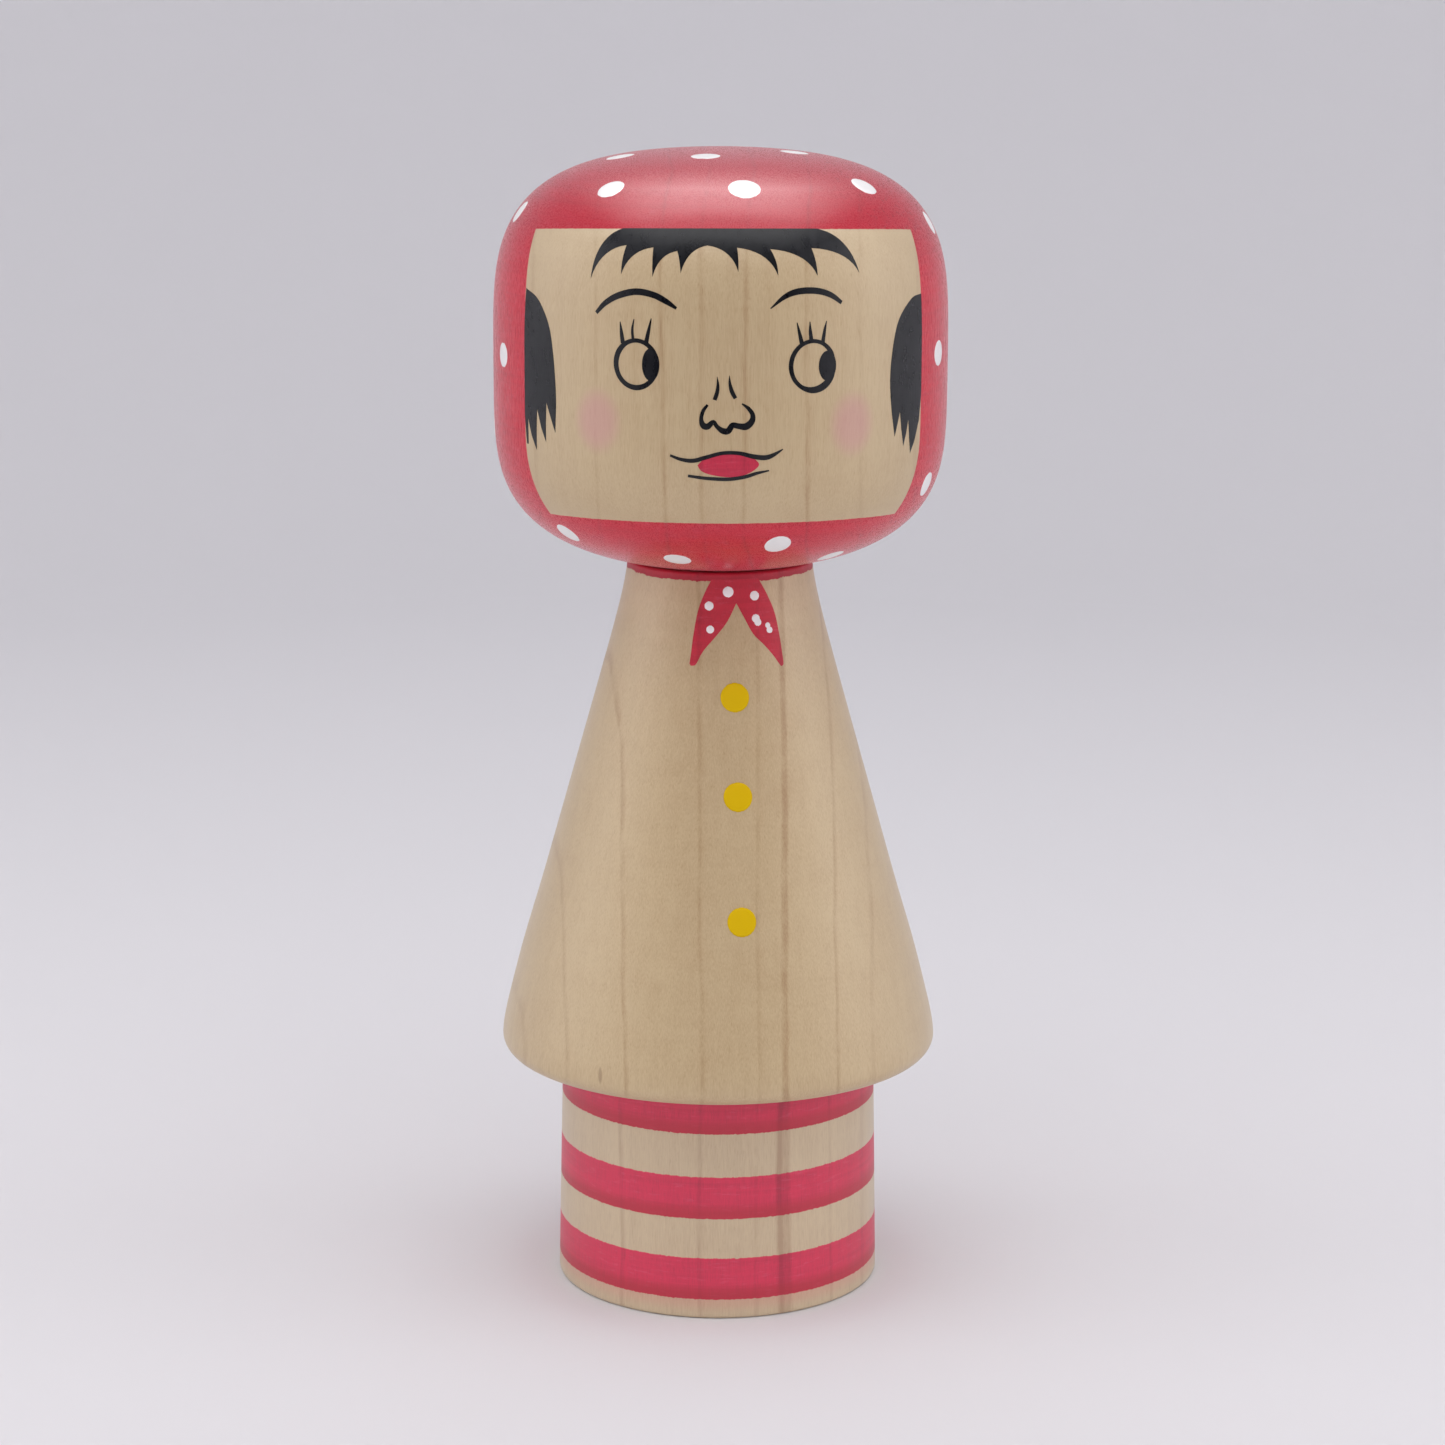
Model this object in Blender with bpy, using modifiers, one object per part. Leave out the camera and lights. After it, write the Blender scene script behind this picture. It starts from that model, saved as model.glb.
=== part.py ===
"""A kokeshi doll: two lathe-turned pieces of pale hardwood.

The body (legs, flared dress and neck) is one turning with a socket in its top.
The head is a second turning with a tenon that snaps into the socket, so the
head turns on the body and does not lift off.

Axis of both turnings: Z. Origin: centre of the base's underside. The painted
face looks along -Y. Dimensions below are in millimetres.
"""
import math

import bpy

MM = 0.001
OBJECT_NAME = "kokeshi_doll"

# Overall
TOTAL_HEIGHT = 150.0
CLEARANCE = 0.3          # running gap between the two turnings

# Legs: a plain post, a little narrower at the top
LEG_RADIUS_BASE = 21.4
LEG_RADIUS_TOP = 20.8
LEG_EDGE_ROUND = 0.5
LEG_ROOT_FILLET = 0.4

# Dress: a straight flank that turns in at the hem and flares at the neck
HEM_UNDERSIDE_Z = 31.1
HEM_CORNER_RADIUS = 2.0
HEM_TUCK = 0.52          # how far the flank turns in at its widest ring
HEM_TUCK_REACH = 2.2     # over what height
FLANK_BELLY = 0.15       # slight fullness of the flank above the hem
FLANK_BELLY_Z = 45.5
FLANK_BELLY_REACH = 6.0
FLANK_SLOPE = 0.2813     # growth of radius for each millimetre down
NECK_RADIUS = 11.3       # of the straight flank, where it meets the neck plane
NECK_FLARE = 0.75        # the lip that turns outward under the head
NECK_FLARE_REACH = 3.5
NECK_EDGE_ROUND = 0.4

# Head: a rounded drum, a squircle in section with a slight dome at each end
HEAD_RADIUS = 29.36
HEAD_MIDDLE_Z = 122.8
CROWN_DOME = 3.24
CROWN_EXPONENT = 4.0
CHIN_HEIGHT = 26.37
CHIN_DOME = 5.05
CHIN_EXPONENT = 4.47
SEAT_RADIUS = 12.3       # flat ring under the head that rests over the neck

# Snap fit: a tenon with a swollen end, and a socket with a narrower mouth
TENON_RADIUS = 5.8
TENON_SWELL_RADIUS = 6.5
TENON_SHANK = 7.5
TENON_SWELL_TOP = 9.5
TENON_SWELL_BOTTOM = 12.0
TENON_LENGTH = 13.5
TENON_NOSE_RADIUS = 5.5
SOCKET_MOUTH_RADIUS = 6.15
SOCKET_CHAMBER_RADIUS = 6.9
SOCKET_LIP_DEPTH = 6.8
SOCKET_CHAMBER_TOP = 8.6
SOCKET_DEPTH = 14.2
SOCKET_MOUTH_CHAMFER = 0.5

# Fineness of the turned surfaces
TURN_STEPS = 64
CROWN_STEPS = 14
CHIN_STEPS = 13
FLANK_STEPS = 15
CORNER_STEPS = 5
EDGE_STEPS = 2
CREASE_ANGLE = 30.0      # degrees

# Finish, linear RGB
HOOD_RED = (0.50, 0.07, 0.09)
BARE_WOOD = (0.48, 0.37, 0.25)


def chin_height_at(angle):
    """Radius and height of the lower half of the head, angle 90 at the widest ring."""
    radius = HEAD_RADIUS * math.sin(angle) ** (2 / CHIN_EXPONENT)
    drop = (CHIN_HEIGHT - CHIN_DOME) * math.cos(angle) ** (2 / CHIN_EXPONENT)
    dome = CHIN_DOME * (1 - (radius / HEAD_RADIUS) ** 2)
    return radius, HEAD_MIDDLE_Z - drop - dome


def crown_height_at(angle):
    """Radius and height of the upper half of the head, angle 0 at the crown."""
    crown_height = TOTAL_HEIGHT - HEAD_MIDDLE_Z
    radius = HEAD_RADIUS * math.sin(angle) ** (2 / CROWN_EXPONENT)
    rise = (crown_height - CROWN_DOME) * math.cos(angle) ** (2 / CROWN_EXPONENT)
    dome = CROWN_DOME * (1 - (radius / HEAD_RADIUS) ** 2)
    return radius, HEAD_MIDDLE_Z + rise + dome


SEAT_ANGLE = math.asin((SEAT_RADIUS / HEAD_RADIUS) ** (CHIN_EXPONENT / 2))
SEAT_Z = chin_height_at(SEAT_ANGLE)[1]
NECK_Z = SEAT_Z - CLEARANCE


def flank_radius(z):
    """Radius of the dress at height z, from the neck plane to the widest ring."""
    widest_z = HEM_UNDERSIDE_Z + HEM_CORNER_RADIUS
    straight = NECK_RADIUS + FLANK_SLOPE * (NECK_Z - z)
    flare = NECK_FLARE * math.exp((z - NECK_Z) / NECK_FLARE_REACH)
    belly = FLANK_BELLY * math.exp(-((z - FLANK_BELLY_Z) / FLANK_BELLY_REACH) ** 2)
    tuck = HEM_TUCK * math.exp((widest_z - z) / HEM_TUCK_REACH)
    return straight + flare + belly - tuck


def arc(centre_r, centre_z, radius, start, end, steps):
    """Points on an arc from start to end, in degrees, 0 pointing outward and 90 up."""
    points = []
    for step in range(steps + 1):
        angle = math.radians(start + (end - start) * step / steps)
        points.append((centre_r + radius * math.cos(angle), centre_z + radius * math.sin(angle)))
    return points


def head_outline():
    """Outline of the head from the crown, down the outside, to the tenon's nose."""
    quarter = math.pi / 2
    points = [crown_height_at(quarter * step / CROWN_STEPS) for step in range(CROWN_STEPS)]
    for step in range(CHIN_STEPS + 1):
        points.append(chin_height_at(quarter + (SEAT_ANGLE - quarter) * step / CHIN_STEPS))
    points += [
        (TENON_RADIUS, SEAT_Z),
        (TENON_RADIUS, SEAT_Z - TENON_SHANK),
        (TENON_SWELL_RADIUS, SEAT_Z - TENON_SWELL_TOP),
        (TENON_SWELL_RADIUS, SEAT_Z - TENON_SWELL_BOTTOM),
        (TENON_NOSE_RADIUS, SEAT_Z - TENON_LENGTH),
        (0.0, SEAT_Z - TENON_LENGTH),
    ]
    return points


def socket_outline():
    """The socket, from the middle of its floor up to its chamfered mouth."""
    return [
        (0.0, NECK_Z - SOCKET_DEPTH),
        (SOCKET_CHAMBER_RADIUS, NECK_Z - SOCKET_DEPTH),
        (SOCKET_CHAMBER_RADIUS, NECK_Z - SOCKET_CHAMBER_TOP),
        (SOCKET_MOUTH_RADIUS, NECK_Z - SOCKET_LIP_DEPTH),
        (SOCKET_MOUTH_RADIUS, NECK_Z - SOCKET_MOUTH_CHAMFER),
        (SOCKET_MOUTH_RADIUS + SOCKET_MOUTH_CHAMFER, NECK_Z),
    ]


def dress_outline():
    """The neck's rounded edge, the flank and the hem, down to the leg's root."""
    edge_z = NECK_Z - NECK_EDGE_ROUND
    edge_r = flank_radius(edge_z) - NECK_EDGE_ROUND
    widest_z = HEM_UNDERSIDE_Z + HEM_CORNER_RADIUS
    points = arc(edge_r, edge_z, NECK_EDGE_ROUND, 90, 0, EDGE_STEPS)
    for step in range(1, FLANK_STEPS + 1):
        share = step / FLANK_STEPS
        # Closer rings near the neck's flare and the hem's turn than on the straight
        share = share - math.sin(2 * math.tau * share) / (4 * math.tau)
        z = edge_z + (widest_z - edge_z) * share
        points.append((flank_radius(z), z))
    corner_r = flank_radius(widest_z) - HEM_CORNER_RADIUS
    points += arc(corner_r, widest_z, HEM_CORNER_RADIUS, 0, -90, CORNER_STEPS)[1:]
    return points


def leg_outline():
    """The root fillet under the hem, the post and the base, in to the axis."""
    root_r = LEG_RADIUS_TOP + LEG_ROOT_FILLET
    root_z = HEM_UNDERSIDE_Z - LEG_ROOT_FILLET
    points = arc(root_r, root_z, LEG_ROOT_FILLET, 90, 180, EDGE_STEPS)
    edge_r = LEG_RADIUS_BASE - LEG_EDGE_ROUND
    points += arc(edge_r, LEG_EDGE_ROUND, LEG_EDGE_ROUND, 0, -90, EDGE_STEPS)
    points.append((0.0, 0.0))
    return points


def wood(name, colour, roughness):
    """A waxed or dyed wood finish."""
    material = bpy.data.materials.new(name)
    material.use_nodes = True
    shader = material.node_tree.nodes["Principled BSDF"]
    shader.inputs["Base Color"].default_value = (*colour, 1.0)
    shader.inputs["Roughness"].default_value = roughness
    shader.inputs["Metallic"].default_value = 0.0
    return material


def turn(name, outline, origin_z, material, collection):
    """Turn an outline round the Z axis into one solid with its origin at origin_z."""
    mesh = bpy.data.meshes.new(name + "_outline")
    vertices = [(r * MM, 0.0, (z - origin_z) * MM) for r, z in outline]
    edges = [(index, index + 1) for index in range(len(vertices) - 1)]
    mesh.from_pydata(vertices, edges, [])
    piece = bpy.data.objects.new(name, mesh)
    piece.location = (0.0, 0.0, origin_z * MM)
    collection.objects.link(piece)

    lathe = piece.modifiers.new("lathe", "SCREW")
    lathe.axis = "Z"
    lathe.angle = math.tau
    lathe.steps = TURN_STEPS
    lathe.render_steps = TURN_STEPS
    lathe.use_merge_vertices = True
    lathe.merge_threshold = 0.00001

    depsgraph = bpy.context.evaluated_depsgraph_get()
    solid = bpy.data.meshes.new_from_object(piece.evaluated_get(depsgraph))
    solid.name = name
    piece.modifiers.clear()
    piece.data = solid
    bpy.data.meshes.remove(mesh)
    solid.materials.append(material)
    solid.shade_smooth()
    solid.set_sharp_from_angle(angle=math.radians(CREASE_ANGLE))
    return piece


def build():
    for existing in list(bpy.data.objects):
        bpy.data.objects.remove(existing, do_unlink=True)
    collection = bpy.data.collections.new(OBJECT_NAME)
    bpy.context.scene.collection.children.link(collection)

    body_outline = socket_outline() + dress_outline() + leg_outline()
    body = turn("body", body_outline, 0.0, wood("bare_wood", BARE_WOOD, 0.45), collection)
    head = turn("head", head_outline(), NECK_Z, wood("hood_red_wood", HOOD_RED, 0.35), collection)
    head.parent = body


build()
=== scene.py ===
import math

import bpy
import numpy as np
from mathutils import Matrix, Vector
from mathutils.geometry import delaunay_2d_cdt


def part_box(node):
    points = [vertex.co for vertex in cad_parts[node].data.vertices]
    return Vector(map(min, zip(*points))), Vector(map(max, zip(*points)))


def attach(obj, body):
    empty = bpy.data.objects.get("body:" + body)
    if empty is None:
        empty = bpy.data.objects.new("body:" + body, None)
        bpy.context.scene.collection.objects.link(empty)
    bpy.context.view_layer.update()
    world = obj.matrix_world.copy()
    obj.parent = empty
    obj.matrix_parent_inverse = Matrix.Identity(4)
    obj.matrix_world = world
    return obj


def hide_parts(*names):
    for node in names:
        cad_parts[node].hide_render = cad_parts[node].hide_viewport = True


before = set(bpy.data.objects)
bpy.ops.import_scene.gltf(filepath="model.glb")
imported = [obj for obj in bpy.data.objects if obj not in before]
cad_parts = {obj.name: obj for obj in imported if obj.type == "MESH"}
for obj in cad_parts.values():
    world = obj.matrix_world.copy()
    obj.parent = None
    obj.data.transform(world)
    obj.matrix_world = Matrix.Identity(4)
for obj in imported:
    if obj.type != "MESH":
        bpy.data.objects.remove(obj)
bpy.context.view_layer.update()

# The looks of a kokeshi doll: two turned pieces of pale wood, dyed and painted by hand.
# Lengths are in millimetres unless a name says otherwise. Z is the turning axis and the
# face looks along -Y. A place on a turning is an azimuth, in degrees from -Y towards +X,
# and a height. Paint is drawn on a sheet wrapped round the wood: u runs along the girth
# to the viewer's right and v upward.

MM = 0.001

# ---------------------------------------------------------------- sizes from the frame
head_low, head_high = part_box("head")
body_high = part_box("body")[1]
TOTAL_HEIGHT = head_high.z / MM
HEAD_GIRTH_RADIUS = head_high.x / MM
NECK_Z = body_high.z / MM
TENON_END_Z = head_low.z / MM

PAINT_BUILD = 0.08        # room for paint between the wood and the frame's outer size
SEAT_GAP = 0.12           # what shows of the running gap under the head
SEAT_Z = NECK_Z + SEAT_GAP

# The head's outline, a squircle with a slight dome at each end
HEAD_MIDDLE_Z = 122.8
HEAD_RADIUS = HEAD_GIRTH_RADIUS - PAINT_BUILD
CROWN_DOME = 3.24
CROWN_EXPONENT = 4.0
CHIN_HEIGHT = 26.37
CHIN_DOME = 5.05
CHIN_EXPONENT = 4.47

# The tenon and its socket
TENON_RADIUS = 5.8
TENON_SWELL_RADIUS = 6.5
TENON_SHANK = 7.5
TENON_SWELL_TOP = 9.5
TENON_SWELL_BOTTOM = 12.0
TENON_NOSE_RADIUS = 5.5
SOCKET_MOUTH_RADIUS = 6.15
SOCKET_CHAMBER_RADIUS = 6.9
SOCKET_LIP_DEPTH = 6.8
SOCKET_CHAMBER_TOP = 8.6
SOCKET_DEPTH = 14.2
SOCKET_MOUTH_CHAMFER = 0.5

# The dress and legs
HEM_UNDERSIDE_Z = 31.1
HEM_CORNER_RADIUS = 2.0
WIDEST_Z = HEM_UNDERSIDE_Z + HEM_CORNER_RADIUS
HEM_TUCK = 0.52
HEM_TUCK_REACH = 2.2
FLANK_BELLY = 0.15
FLANK_BELLY_Z = 45.5
FLANK_BELLY_REACH = 6.0
FLANK_SLOPE = 0.2813
NECK_RADIUS = 11.3
NECK_FLARE = 0.75
NECK_FLARE_REACH = 3.5
NECK_EDGE_ROUND = 0.4
LEG_RADIUS_BASE = 21.4
LEG_RADIUS_TOP = 20.8
LEG_EDGE_ROUND = 0.5
LEG_ROOT_FILLET = 0.4

# Painted layout
FACE_AZIMUTH = 1.3        # the head is turned this far from the viewer
FRONT_AZIMUTH = 9.0       # the body's tie is this far round
BUTTON_AZIMUTH = 7.3
BUTTON_HEIGHTS = (81.6, 69.4, 54.1)
BUTTON_RADIUS = 1.87
STRIPES = ((2.64, 8.26), (13.60, 19.26), (25.06, HEM_UNDERSIDE_Z + 1.0))
NECK_BAND_Z = 96.05
INK_BUILD = 0.02
DOT_BUILD = 0.07
BUTTON_BUILD = 0.28
PAINT_SINK = 0.12         # how far a film's underside is let into the wood
DAB_FULLNESS = 0.8        # below 1 rounds the shoulder of a dab of paint

# Fineness of the surfaces
TURN_STEPS = 192
OUTLINE_STEP = 0.6
EDGE_STEPS = 5
CORNER_STEPS = 12
FILLET_STEPS = 4
CURVE_SAMPLES = 600       # points taken on each half of the head before it is spaced evenly
FLANK_SAMPLES = 400
SKIN_STEP = 0.1
TURNED_CREASE = 35        # degrees
DAB_CREASE = 60
BUTTON_CREASE = 75


# ---------------------------------------------------------------- outlines
def head_outside():
    """The outside of the head from the crown to the seat, as (radius, height)."""
    crown_height = TOTAL_HEIGHT - HEAD_MIDDLE_Z
    points = []
    for angle in np.linspace(0, math.pi / 2, CURVE_SAMPLES):
        radius = HEAD_RADIUS * math.sin(angle) ** (2 / CROWN_EXPONENT)
        rise = (crown_height - CROWN_DOME) * math.cos(angle) ** (2 / CROWN_EXPONENT)
        dome = CROWN_DOME * (1 - (radius / HEAD_RADIUS) ** 2)
        points.append((radius, HEAD_MIDDLE_Z + rise + dome))
    for angle in np.linspace(math.pi / 2, 0, CURVE_SAMPLES)[1:]:
        radius = HEAD_RADIUS * math.sin(angle) ** (2 / CHIN_EXPONENT)
        drop = (CHIN_HEIGHT - CHIN_DOME) * math.cos(angle) ** (2 / CHIN_EXPONENT)
        dome = CHIN_DOME * (1 - (radius / HEAD_RADIUS) ** 2)
        if HEAD_MIDDLE_Z - drop - dome < SEAT_Z:
            break
        points.append((radius, HEAD_MIDDLE_Z - drop - dome))
    return evenly(points, OUTLINE_STEP)


def tenon_outline():
    return [
        (TENON_RADIUS, SEAT_Z),
        (TENON_RADIUS, SEAT_Z - TENON_SHANK),
        (TENON_SWELL_RADIUS, SEAT_Z - TENON_SWELL_TOP),
        (TENON_SWELL_RADIUS, SEAT_Z - TENON_SWELL_BOTTOM),
        (TENON_NOSE_RADIUS, TENON_END_Z),
        (0.0, TENON_END_Z),
    ]


def flank_radius(z):
    """Radius of the dress at height z, from the neck to the widest ring."""
    straight = NECK_RADIUS + FLANK_SLOPE * (NECK_Z - z)
    flare = NECK_FLARE * math.exp((z - NECK_Z) / NECK_FLARE_REACH)
    belly = FLANK_BELLY * math.exp(-((z - FLANK_BELLY_Z) / FLANK_BELLY_REACH) ** 2)
    tuck = HEM_TUCK * math.exp((WIDEST_Z - z) / HEM_TUCK_REACH)
    return straight + flare + belly - tuck


def arc(centre_r, centre_z, radius, start, end, steps):
    """Points on an arc from start to end, in degrees, 0 pointing outward and 90 up."""
    angles = np.radians(np.linspace(start, end, steps + 1))
    return [(centre_r + radius * math.cos(a), centre_z + radius * math.sin(a)) for a in angles]


def evenly(points, step):
    """The same line with points about a step apart, its two ends kept."""
    line = np.array(points)
    lengths = np.hypot(*np.diff(line, axis=0).T)
    along = np.concatenate([[0.0], np.cumsum(lengths)])
    stations = np.linspace(0, along[-1], max(2, round(along[-1] / step) + 1))
    return [(np.interp(s, along, line[:, 0]), np.interp(s, along, line[:, 1])) for s in stations]


def body_outside():
    """The outside of the body from the neck's rounded edge to the base, as (radius, height)."""
    edge_z = NECK_Z - NECK_EDGE_ROUND
    edge_r = flank_radius(edge_z) - NECK_EDGE_ROUND
    points = arc(edge_r, edge_z, NECK_EDGE_ROUND, 90, 0, EDGE_STEPS)
    flank = [(flank_radius(z), z) for z in np.linspace(edge_z, WIDEST_Z, FLANK_SAMPLES)[1:]]
    points += evenly(flank, OUTLINE_STEP)
    corner_r = flank_radius(WIDEST_Z) - HEM_CORNER_RADIUS
    points += arc(corner_r, WIDEST_Z, HEM_CORNER_RADIUS, 0, -90, CORNER_STEPS)[1:]
    root_r = LEG_RADIUS_TOP + LEG_ROOT_FILLET
    root_z = HEM_UNDERSIDE_Z - LEG_ROOT_FILLET
    points += arc(root_r, root_z, LEG_ROOT_FILLET, 90, 180, FILLET_STEPS)
    edge_r = LEG_RADIUS_BASE - LEG_EDGE_ROUND
    points += evenly([points[-1], (LEG_RADIUS_BASE, LEG_EDGE_ROUND)], OUTLINE_STEP)[1:-1]
    points += arc(edge_r, LEG_EDGE_ROUND, LEG_EDGE_ROUND, 0, -90, EDGE_STEPS)
    return points


def socket_outline():
    return [
        (0.0, NECK_Z - SOCKET_DEPTH),
        (SOCKET_CHAMBER_RADIUS, NECK_Z - SOCKET_DEPTH),
        (SOCKET_CHAMBER_RADIUS, NECK_Z - SOCKET_CHAMBER_TOP),
        (SOCKET_MOUTH_RADIUS, NECK_Z - SOCKET_LIP_DEPTH),
        (SOCKET_MOUTH_RADIUS, NECK_Z - SOCKET_MOUTH_CHAMFER),
        (SOCKET_MOUTH_RADIUS + SOCKET_MOUTH_CHAMFER, NECK_Z),
    ]


# ---------------------------------------------------------------- meshes
class Shape:
    """Points and faces that become one object."""

    def __init__(self):
        self.points = []
        self.normals = []
        self.faces = []

    def add(self, point, normal=(0, 0, 0)):
        self.points.append(tuple(point))
        self.normals.append(tuple(normal))
        return len(self.points) - 1

    def to_object(self, name, material, crease=None):
        mesh = bpy.data.meshes.new(name)
        mesh.from_pydata([Vector(p) * MM for p in self.points], [], self.faces)
        mesh.materials.append(material)
        mesh.shade_smooth()
        if crease is None:
            mesh.normals_split_custom_set_from_vertices(self.normals)
        else:
            mesh.set_sharp_from_angle(angle=math.radians(crease))
        piece = bpy.data.objects.new(name, mesh)
        bpy.context.scene.collection.objects.link(piece)
        return piece


def turned(name, outline, material):
    """An outline from axis to axis, down its outer side, turned round the Z axis."""
    shape = Shape()
    rings = []
    for radius, z in outline:
        if radius == 0.0:
            rings.append([shape.add((0, 0, z))] * TURN_STEPS)
            continue
        angles = [math.tau * step / TURN_STEPS for step in range(TURN_STEPS)]
        rings.append([shape.add((radius * math.cos(a), radius * math.sin(a), z)) for a in angles])
    for upper, lower in zip(rings, rings[1:]):
        for step in range(TURN_STEPS):
            after = (step + 1) % TURN_STEPS
            corners = [upper[step], lower[step], lower[after], upper[after]]
            face = list(dict.fromkeys(corners))
            if len(face) > 2:
                shape.faces.append(face)
    return shape.to_object(name, material, TURNED_CREASE)


class Skin:
    """The outside of a turning, to paint on. front is the azimuth where u is 0.

    With a girth radius, u keeps its angle at every height; without one it is a true length.
    """

    def __init__(self, outline, front, girth=None):
        self.line = np.array(evenly(outline, SKIN_STEP))
        run = np.gradient(self.line, axis=0)
        run /= np.hypot(run[:, 0], run[:, 1])[:, None]
        self.normal = np.column_stack([-run[:, 1], run[:, 0]])
        self.front = front
        self.girth = girth

    def lifted(self, index, azimuth, lift):
        radius, z = self.line[index] + self.normal[index] * lift
        out, up = self.normal[index]
        across, ahead = math.sin(azimuth), -math.cos(azimuth)
        return (radius * across, radius * ahead, z), (out * across, out * ahead, up)

    def wrapped(self, u, v, lift):
        """The point and normal at (u, v) on the wrapped sheet; v is a height."""
        heights = self.line[:, 1]
        radius = np.interp(-v, -heights, self.line[:, 0])
        out = np.interp(-v, -heights, self.normal[:, 0])
        up = np.interp(-v, -heights, self.normal[:, 1])
        azimuth = math.radians(self.front) + u / (self.girth or radius)
        across, ahead = math.sin(azimuth), -math.cos(azimuth)
        point = ((radius + out * lift) * across, (radius + out * lift) * ahead, v + up * lift)
        return point, (out * across, out * ahead, up)

    def dropped(self, point, lift):
        """The place on the skin nearest to a point, then lifted off it."""
        flat = math.hypot(point[0], point[1])
        gaps = np.hypot(self.line[:, 0] - flat, self.line[:, 1] - point[2])
        return self.lifted(int(gaps.argmin()), math.atan2(point[0], -point[1]), lift)


def spline(points, step=0.15):
    """A smooth line through points of any number of coordinates (Catmull-Rom)."""
    knots = [np.array(p, float) for p in points]
    knots = [2 * knots[0] - knots[1]] + knots + [2 * knots[-1] - knots[-2]]
    line = []
    for a, b, c, d in zip(knots, knots[1:], knots[2:], knots[3:]):
        count = max(2, math.ceil(np.hypot(*(c - b)[:2]) / step))
        for t in np.arange(count) / count:
            quadratic = 2 * b + (c - a) * t + (2 * a - 5 * b + 4 * c - d) * t**2
            line.append((quadratic + (3 * b - a - 3 * c + d) * t**3) / 2)
    line.append(knots[-2])
    return line


def stroke(shape, skin, points, lift=INK_BUILD, closed=False):
    """A brush stroke through (u, v, width) points, as a thin closed ribbon let into the wood."""
    line = spline(points)
    if closed:
        line = line[:-1]
    sections = []
    for index, (u, v, width) in enumerate(line):
        before = line[index - 1] if index or closed else line[index]
        after = line[(index + 1) % len(line)] if index + 1 < len(line) or closed else line[index]
        run = np.array(after[:2]) - np.array(before[:2])
        side = np.array([-run[1], run[0]]) / np.hypot(*run) * width / 2
        rim = ((1, -PAINT_SINK), (1, lift), (0, lift), (-1, lift), (-1, -PAINT_SINK))
        places = [skin.wrapped(u + side[0] * s, v + side[1] * s, rise) for s, rise in rim]
        sections.append([shape.add(*place) for place in places])
    pairs = list(zip(sections, sections[1:]))
    if closed:
        pairs.append((sections[-1], sections[0]))
    for near, far in pairs:
        for k in range(len(near)):
            n = (k + 1) % len(near)
            shape.faces.append([near[k], near[n], far[n], far[k]])
    if not closed:
        shape.faces.append(sections[0][::-1])
        shape.faces.append(sections[-1])


def inside(u, v, outline):
    """Whether (u, v) is within a closed outline, by counting crossings."""
    hit = False
    for (u0, v0), (u1, v1) in zip(outline, outline[1:] + outline[:1]):
        if (v0 > v) != (v1 > v) and u < u0 + (v - v0) / (v1 - v0) * (u1 - u0):
            hit = not hit
    return hit


def film(shape, skin, outline, lift=INK_BUILD, cell=0.7):
    """A painted area with a closed outline of (u, v), anticlockwise, as a thin closed film."""
    edge = []
    for (u0, v0), (u1, v1) in zip(outline, outline[1:] + outline[:1]):
        count = max(1, math.ceil(math.hypot(u1 - u0, v1 - v0) / (cell / 2)))
        edge += [(u0 + (u1 - u0) * k / count, v0 + (v1 - v0) * k / count) for k in range(count)]
    rim = np.array(edge)
    fill = []
    for u in np.arange(rim[:, 0].min(), rim[:, 0].max(), cell):
        for v in np.arange(rim[:, 1].min(), rim[:, 1].max(), cell):
            if np.hypot(*(rim - (u, v)).T).min() > cell * 0.4 and inside(u, v, edge):
                fill.append((u, v))
    places = [Vector(p) for p in edge + fill]
    only_inside, tolerance = 1, 1e-5
    rim_face = list(range(len(edge)))
    places, _, faces, *_ = delaunay_2d_cdt(places, [], [rim_face], only_inside, tolerance)
    top = [shape.add(*skin.wrapped(p.x, p.y, lift)) for p in places]
    under = [shape.add(*skin.wrapped(p.x, p.y, -PAINT_SINK)) for p in places]
    borders = {}
    for face in faces:
        shape.faces.append([top[k] for k in face])
        shape.faces.append([under[k] for k in reversed(face)])
        for a, b in zip(face, face[1:] + face[:1]):
            borders[(a, b)] = (b, a)
    for (a, b), back in borders.items():
        if back not in borders:
            shape.faces.append([top[a], under[a], under[b], top[b]])


def dab(shape, skin, azimuth, z, radius, build, rings=6, steps=36):
    """A round dab of thick paint with a soft domed edge, at a place on the skin."""
    nearest = int(np.abs(skin.line[:, 1] - z).argmin())
    centre, normal = skin.lifted(nearest, math.radians(azimuth), 0)
    normal = Vector(normal)
    along = Vector((math.cos(math.radians(azimuth)), math.sin(math.radians(azimuth)), 0))
    across = normal.cross(along)

    def place(distance, angle, lift):
        offset = along * math.cos(angle) + across * math.sin(angle)
        return skin.dropped(Vector(centre) + offset * distance, lift)[0]

    turns = np.linspace(0, math.pi / 2, rings + 1)[1:]
    profile = [(radius * math.sin(t), build * math.cos(t) ** DAB_FULLNESS) for t in turns]
    profile.append((radius, -PAINT_SINK))
    angles = [math.tau * k / steps for k in range(steps)]
    loops = [[shape.add(place(d, a, h)) for a in angles] for d, h in profile]
    crown = shape.add(place(0, 0, build))
    floor = shape.add(place(0, 0, -PAINT_SINK))
    for k in range(steps):
        n = (k + 1) % steps
        shape.faces.append([crown, loops[0][k], loops[0][n]])
        shape.faces.append([floor, loops[-1][n], loops[-1][k]])
        for inner, outer in zip(loops, loops[1:]):
            shape.faces.append([inner[k], outer[k], outer[n], inner[n]])


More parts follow.
